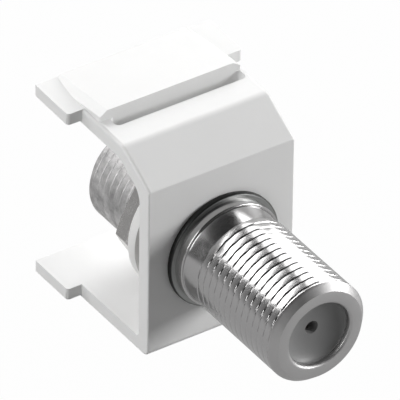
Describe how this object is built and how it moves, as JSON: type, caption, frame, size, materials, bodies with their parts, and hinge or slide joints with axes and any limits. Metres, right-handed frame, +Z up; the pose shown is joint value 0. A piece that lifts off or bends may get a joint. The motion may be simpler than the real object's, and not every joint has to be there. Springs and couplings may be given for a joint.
{
  "type": "snap-in f connector module",
  "caption": "White moulded U-shaped snap-in wall-plate module carrying a nickel-plated female-to-female coaxial F coupler.",
  "frame": {"origin": "where the coupler's axis crosses the plane of the housing's flat front face", "axes": "-Y out of the front port, +Y out of the rear port, +X to the right seen from the front, +Z up towards the latch arm"},
  "size_m": [0.0174, 0.0297, 0.0208],
  "materials": {
    "moulded_plastic": "smooth white moulding, semi-gloss",
    "nickel_plate": "bright nickel plate",
    "washer_steel": "dull plated steel",
    "insulator_plastic": "grey moulding",
    "contact_metal": "spring bronze"
  },
  "bodies": {
    "root": {"housing": "moulded_plastic", "coupler_body": "nickel_plate", "front_washer": "washer_steel", "spacer_ring": "washer_steel", "flat_washer": "nickel_plate", "hex_nut": "nickel_plate", "front_insulator": "insulator_plastic", "rear_insulator": "insulator_plastic", "centre_contact": "contact_metal"}
  },
  "joints": []
}
